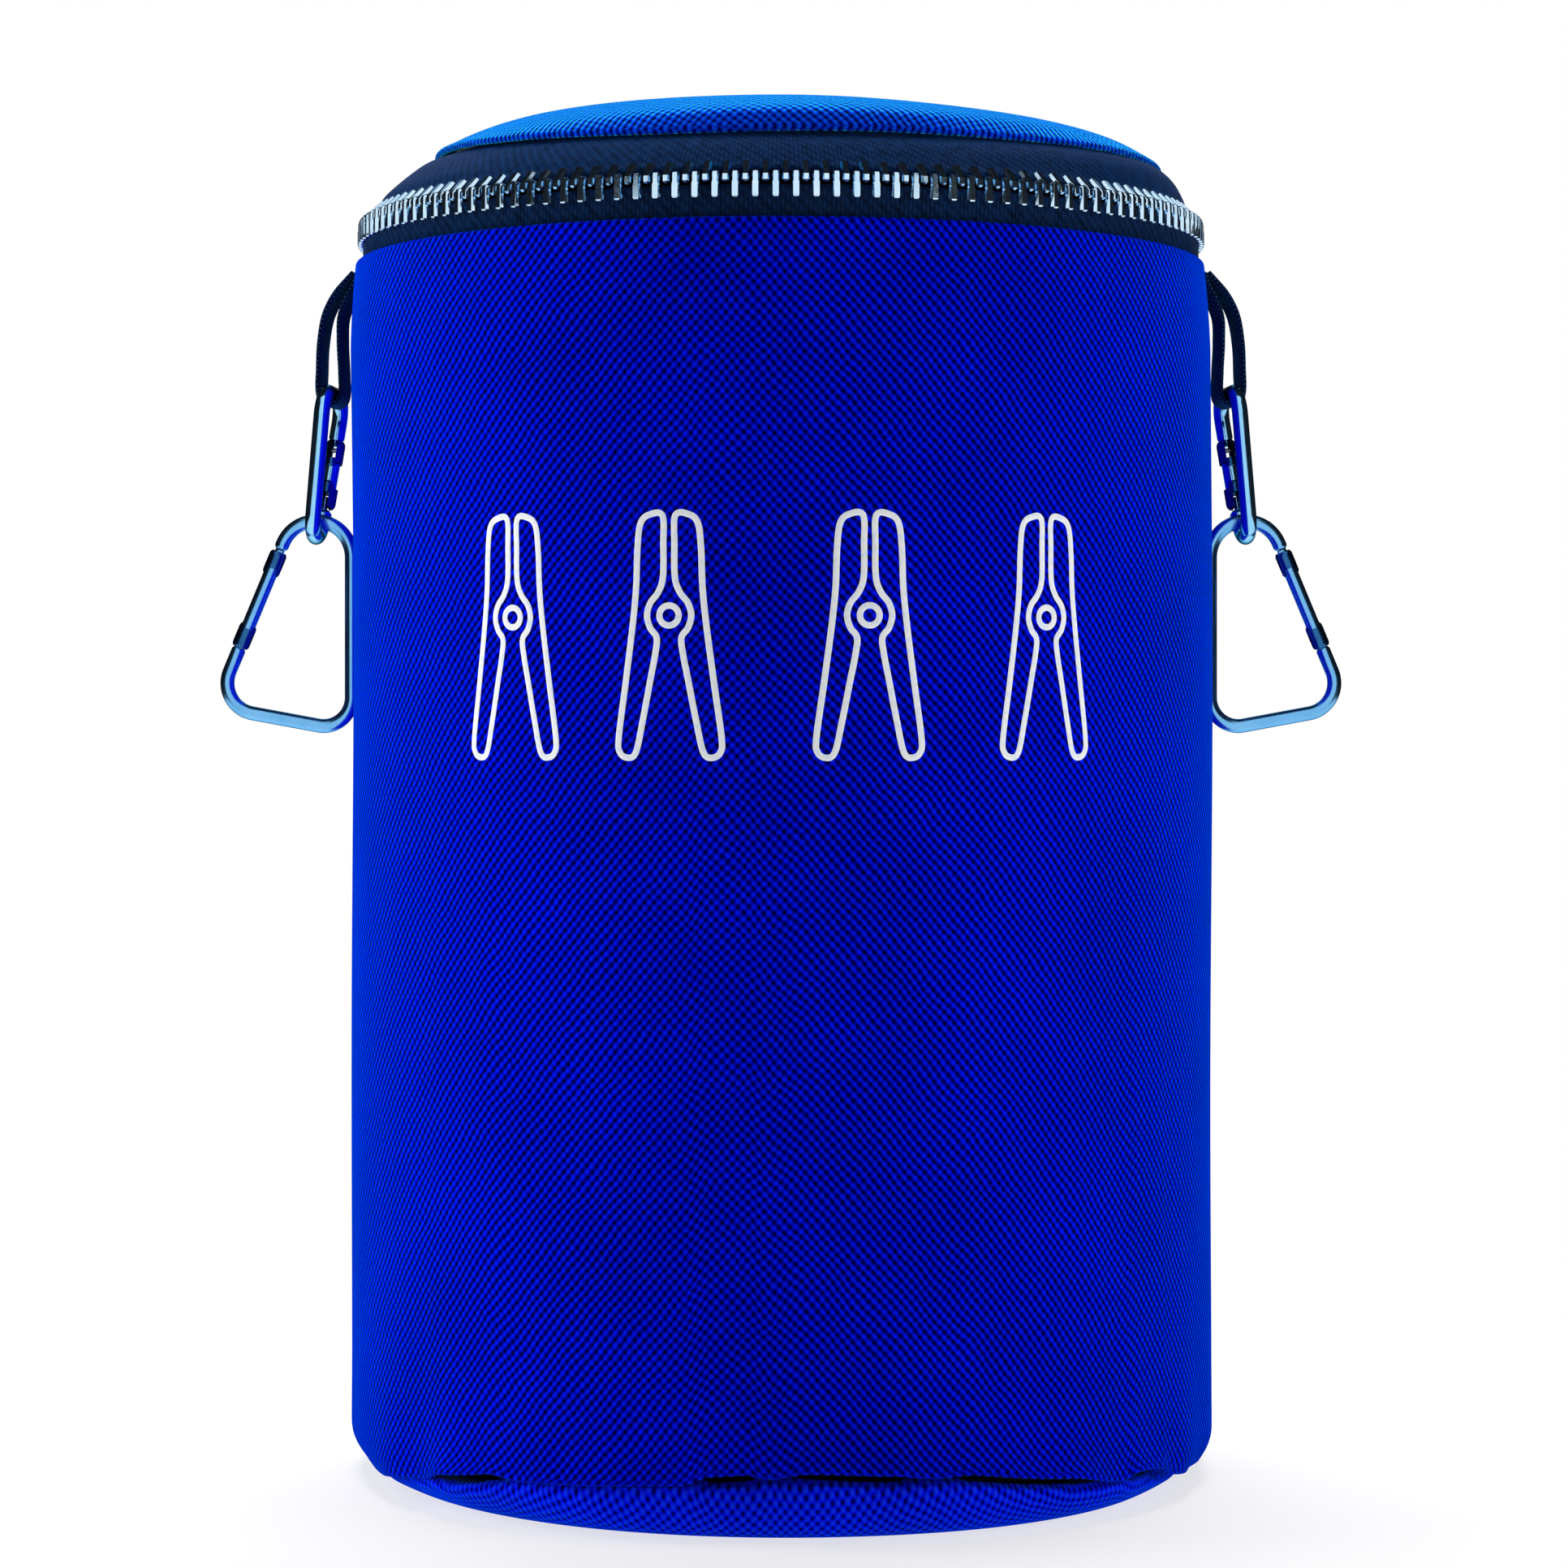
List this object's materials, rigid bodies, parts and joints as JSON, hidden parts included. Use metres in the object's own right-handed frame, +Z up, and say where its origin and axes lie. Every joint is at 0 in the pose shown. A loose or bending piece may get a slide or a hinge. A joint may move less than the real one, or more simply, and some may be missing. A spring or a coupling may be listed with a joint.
{
  "type": "peg bag",
  "caption": "Round soft bag with a domed zip-round lid, padded wall and stiff base, hung from webbing loops by paired snap hooks, for keeping clothes pegs.",
  "frame": {"origin": "centre of the flat underside of the base", "axes": "+Z up, -Y the front that the picture shows, +Y the cloth hinge at the back, +X the bag's right hanger in the picture"},
  "size_m": [0.2648, 0.2, 0.3113],
  "materials": {
    "bag_cloth": "woven, satin sheen",
    "lining": "plain weave",
    "foam": "open-cell sheet",
    "base_board": "matte",
    "binding": "ribbed tape",
    "zip_tape": "herringbone tape",
    "zip_metal": "polished",
    "hook_metal": "polished",
    "spring_steel": "drawn wire",
    "webbing": "woven webbing"
  },
  "bodies": {
    "bag": {"side_panel": "bag_cloth", "side_foam": "foam", "side_lining": "lining", "base_panel": "bag_cloth", "base_board": "base_board", "base_foam": "foam", "base_lining": "lining", "base_binding": "binding", "mouth_binding": "binding", "zip_tape_lower": "zip_tape", "zip_teeth_lower": "zip_metal", "zip_end_right_tape": "zip_tape", "zip_end_right_teeth": "zip_metal", "zip_end_left_tape": "zip_tape", "zip_end_left_teeth": "zip_metal", "hinge_strip_lower": "bag_cloth"},
    "lid": {"lid_panel": "bag_cloth", "lid_foam": "foam", "lid_lining": "lining", "lid_binding": "binding", "zip_tape_upper": "zip_tape", "zip_teeth_upper": "zip_metal", "hinge_strip_upper": "bag_cloth"},
    "slider": {"zip_slider": "zip_metal", "zip_slider_back": "zip_metal"},
    "pull": {"zip_pull": "zip_metal"},
    "right_loop": {"right_loop": "webbing"},
    "right_clip": {"right_clip_frame": "hook_metal", "right_clip_pivot_pin": "spring_steel"},
    "right_clip_gate": {"right_clip_gate": "hook_metal", "right_clip_latch_pin": "spring_steel", "right_clip_gate_spring": "spring_steel"},
    "right_hook": {"right_hook_frame": "hook_metal", "right_hook_pivot_pin": "spring_steel"},
    "right_hook_gate": {"right_hook_gate": "hook_metal", "right_hook_latch_pin": "spring_steel", "right_hook_gate_spring": "spring_steel"},
    "left_loop": {"left_loop": "webbing"},
    "left_clip": {"left_clip_frame": "hook_metal", "left_clip_pivot_pin": "spring_steel"},
    "left_clip_gate": {"left_clip_gate": "hook_metal", "left_clip_latch_pin": "spring_steel", "left_clip_gate_spring": "spring_steel"},
    "left_hook": {"left_hook_frame": "hook_metal", "left_hook_pivot_pin": "spring_steel"},
    "left_hook_gate": {"left_hook_gate": "hook_metal", "left_hook_latch_pin": "spring_steel", "left_hook_gate_spring": "spring_steel"}
  },
  "joints": [
    {"name": "lid_hinge", "type": "hinge", "parent": "bag", "child": "lid", "pos_m": [0, 0.0976, 0.287], "axis": [-1, 0, 0], "range_deg": [0, 170]},
    {"name": "zip_slider_travel", "type": "hinge", "parent": "bag", "child": "slider", "pos_m": [0, 0, 0.287], "axis": [0, 0, -1], "range_deg": [0, 290]},
    {"name": "zip_pull_swing", "type": "hinge", "parent": "slider", "child": "pull", "pos_m": [0.0581, 0.08298, 0.285], "axis": [0, 0, -1], "range_deg": [0, 170]},
    {"name": "right_loop_lift", "type": "hinge", "parent": "bag", "child": "right_loop", "pos_m": [0.09823, 0.00859, 0.2785], "axis": [0.0872, -0.9962, 0], "range_deg": [0, 50]},
    {"name": "right_clip_swing", "type": "hinge", "parent": "right_loop", "child": "right_clip", "pos_m": [0.1056, 0.00924, 0.25], "axis": [0.0872, -0.9962, 0], "range_deg": [0, 80]},
    {"name": "right_hook_swing", "type": "hinge", "parent": "right_clip", "child": "right_hook", "pos_m": [0.10972, 0.00936, 0.22015], "axis": [0.9962, 0.0872, 0], "range_deg": [-60, 60]},
    {"name": "right_clip_gate_swing", "type": "hinge", "parent": "right_clip", "child": "right_clip_gate", "pos_m": [0.1081, 0.01604, 0.22487], "axis": [0.9888, 0.0865, 0.1219], "range_deg": [0, 25], "stiffness_Nm_per_rad": 0.02, "springref_deg": -20.05},
    {"name": "right_hook_gate_swing", "type": "hinge", "parent": "right_hook", "child": "right_hook_gate", "pos_m": [0.11891, 0.01016, 0.21181], "axis": [-0.0872, 0.9962, 0], "range_deg": [0, 25], "stiffness_Nm_per_rad": 0.02, "springref_deg": -20.05},
    {"name": "left_loop_lift", "type": "hinge", "parent": "bag", "child": "left_loop", "pos_m": [-0.09823, 0.00859, 0.2785], "axis": [0.0872, 0.9962, 0], "range_deg": [0, 50]},
    {"name": "left_clip_swing", "type": "hinge", "parent": "left_loop", "child": "left_clip", "pos_m": [-0.1056, 0.00924, 0.25], "axis": [0.0872, 0.9962, 0], "range_deg": [0, 80]},
    {"name": "left_hook_swing", "type": "hinge", "parent": "left_clip", "child": "left_hook", "pos_m": [-0.10972, 0.00936, 0.22015], "axis": [0.9962, -0.0872, 0], "range_deg": [-60, 60]},
    {"name": "left_clip_gate_swing", "type": "hinge", "parent": "left_clip", "child": "left_clip_gate", "pos_m": [-0.1081, 0.01604, 0.22487], "axis": [0.9888, -0.0865, -0.1219], "range_deg": [0, 25], "stiffness_Nm_per_rad": 0.02, "springref_deg": -20.05},
    {"name": "left_hook_gate_swing", "type": "hinge", "parent": "left_hook", "child": "left_hook_gate", "pos_m": [-0.11891, 0.01016, 0.21181], "axis": [-0.0872, -0.9962, 0], "range_deg": [0, 25], "stiffness_Nm_per_rad": 0.02, "springref_deg": -20.05}
  ]
}
